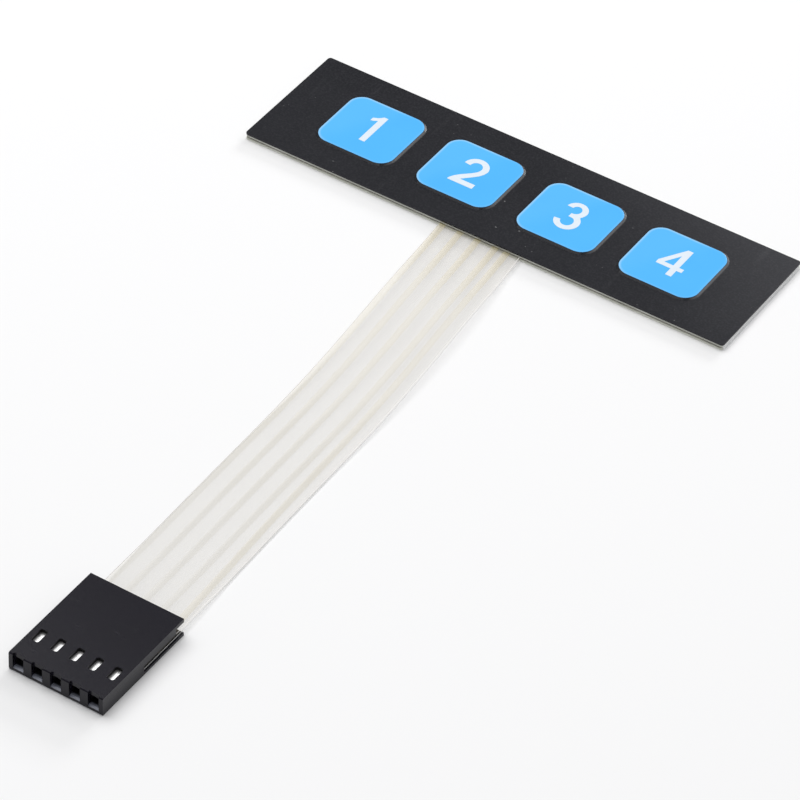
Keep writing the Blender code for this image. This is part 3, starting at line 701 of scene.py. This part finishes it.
class KEYPAD_OT_tail(bpy.types.Operator):
    """Finishes the circuit film, its cover and the printed tracks"""

    bl_idname = "keypad.tail"
    bl_label = "Finish the tail"

    def execute(self, context):
        colours = context.scene.keypad_film
        paint("circuit_film", film_finish("circuit_film", colours, 1.0 - colours.clearness))
        cover = film_finish("tail_cover", colours, COVER_OPACITY, cut_by_side=True)
        self.lay("tail_cover", cover, "tail_cover")
        silver = track_finish("key_tracks", colours, KEY_INK_SHARE)
        for number in KEYS:
            self.lay(f"track_key_{number}", silver, "silver_ink")
        self.lay("track_common", track_finish("common_track", colours, COMMON_INK_SHARE), "silver_ink")
        return {"FINISHED"}

    @staticmethod
    def lay(node, material, slot):
        """Puts a node's upper skin in its place."""
        name = f"{node}_skin"
        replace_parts(add_piece(name, upper_skin(node, name), material), node)


class KEYPAD_OT_connector(bpy.types.Operator):
    """Finishes the connector's housing and contacts"""

    bl_idname = "keypad.connector"
    bl_label = "Finish the connector"

    def execute(self, context):
        colours = context.scene.keypad_connector
        paint("connector_housing", housing_finish(colours))
        tin = tin_finish(colours)
        for number in CONTACTS:
            paint(f"contact_{number}", tin)
        return {"FINISHED"}


def add_area_light(name, place, target, size, watts):
    """A soft box that faces a target."""
    data = bpy.data.lights.new(name, "AREA")
    data.shape = "RECTANGLE"
    data.size, data.size_y = size
    data.energy = watts
    box = bpy.data.objects.new(name, data)
    bpy.context.scene.collection.objects.link(box)
    box.location = place
    box.rotation_euler = (Vector(target) - Vector(place)).to_track_quat("-Z", "Y").to_euler()


class KEYPAD_OT_stage(bpy.types.Operator):
    """Sets the table, the soft light and the camera"""

    bl_idname = "keypad.stage"
    bl_label = "Set the stage"

    def execute(self, context):
        settings = context.scene.keypad_stage
        self.add_table(settings)
        self.add_light(context.scene, settings)
        self.add_camera(context.scene, settings)
        return {"FINISHED"}

    @staticmethod
    def add_table(settings):
        """A plain table top, just under the keypad."""
        finish = Finish("table_top", roughness=0.9, specular=0.0)
        finish.set("Base Color", tuple(settings.table))
        bm = bmesh.new()
        bmesh.ops.create_grid(bm, x_segments=1, y_segments=1, size=TABLE_HALF_WIDTH)
        bmesh.ops.translate(bm, verts=bm.verts, vec=(0.0, 0.0, -TABLE_DROP))
        mesh = closed_mesh_from(bm, "table_top")
        mesh.materials.append(finish.material)
        table = bpy.data.objects.new("table_top", mesh)
        bpy.context.scene.collection.objects.link(table)

    @staticmethod
    def add_light(scene, settings):
        """An even room light and the soft boxes."""
        world = bpy.data.worlds.new("even_room")
        world.use_nodes = True
        background = world.node_tree.nodes["Background"]
        background.inputs["Color"].default_value = (1.0, 1.0, 1.0, 1.0)
        background.inputs["Strength"].default_value = settings.sky
        scene.world = world
        for name, box in SOFT_BOXES.items():
            add_area_light(name, *box)
        scene.view_settings.view_transform = "Standard"

    @staticmethod
    def add_camera(scene, settings):
        """The photograph's camera."""
        data = bpy.data.cameras.new("photo_camera")
        data.sensor_width = SENSOR_WIDTH
        data.lens = settings.lens
        data.clip_start, data.clip_end = CAMERA_CLIP
        camera = bpy.data.objects.new("photo_camera", data)
        scene.collection.objects.link(camera)
        azimuth, elevation, roll = (math.radians(angle) for angle in CAMERA_ANGLES)
        reach = math.cos(elevation)
        back = Vector((math.sin(azimuth) * reach, -math.cos(azimuth) * reach, math.sin(elevation)))
        level = Vector((math.cos(azimuth), math.sin(azimuth), 0.0))
        upright = back.cross(level)
        right = level * math.cos(roll) + upright * math.sin(roll)
        up = upright * math.cos(roll) - level * math.sin(roll)
        turn = Matrix((right, up, back)).transposed().to_4x4()
        camera.matrix_world = Matrix.Translation(CAMERA_PLACE) @ turn
        scene.camera = camera


class KEYPAD_PT_panel(bpy.types.Panel):
    """Lists the keypad's settings and steps"""

    bl_idname = "KEYPAD_PT_panel"
    bl_label = "Membrane keypad"
    bl_space_type = "VIEW_3D"
    bl_region_type = "UI"
    bl_category = "Keypad"

    def draw(self, context):
        for group, steps in STEPS:
            box = self.layout.box()
            for name in group.__annotations__:
                box.prop(getattr(context.scene, SETTINGS[group]), name)
            for step in steps:
                box.operator(step.bl_idname)


SETTINGS = {
    KeypadPrintSettings: "keypad_print",
    KeypadFilmSettings: "keypad_film",
    KeypadConnectorSettings: "keypad_connector",
    KeypadStageSettings: "keypad_stage",
}
STEPS = (
    (KeypadPrintSettings, (KEYPAD_OT_print,)),
    (KeypadFilmSettings, (KEYPAD_OT_layers, KEYPAD_OT_tail)),
    (KeypadConnectorSettings, (KEYPAD_OT_connector,)),
    (KeypadStageSettings, (KEYPAD_OT_stage,)),
)


def register():
    """Adds the settings, the steps and the panel to Blender."""
    for group, name in SETTINGS.items():
        bpy.utils.register_class(group)
        setattr(bpy.types.Scene, name, bpy.props.PointerProperty(type=group))
    for _, steps in STEPS:
        for step in steps:
            bpy.utils.register_class(step)
    bpy.utils.register_class(KEYPAD_PT_panel)


def unregister():
    """Takes them out again, in the opposite order."""
    bpy.utils.unregister_class(KEYPAD_PT_panel)
    for _, steps in STEPS:
        for step in steps:
            bpy.utils.unregister_class(step)
    for group, name in SETTINGS.items():
        delattr(bpy.types.Scene, name)
        bpy.utils.unregister_class(group)


def main():
    """Runs every step."""
    register()
    bpy.ops.keypad.print()
    bpy.ops.keypad.layers()
    bpy.ops.keypad.tail()
    bpy.ops.keypad.connector()
    bpy.ops.keypad.stage()


if __name__ == "__main__":
    main()
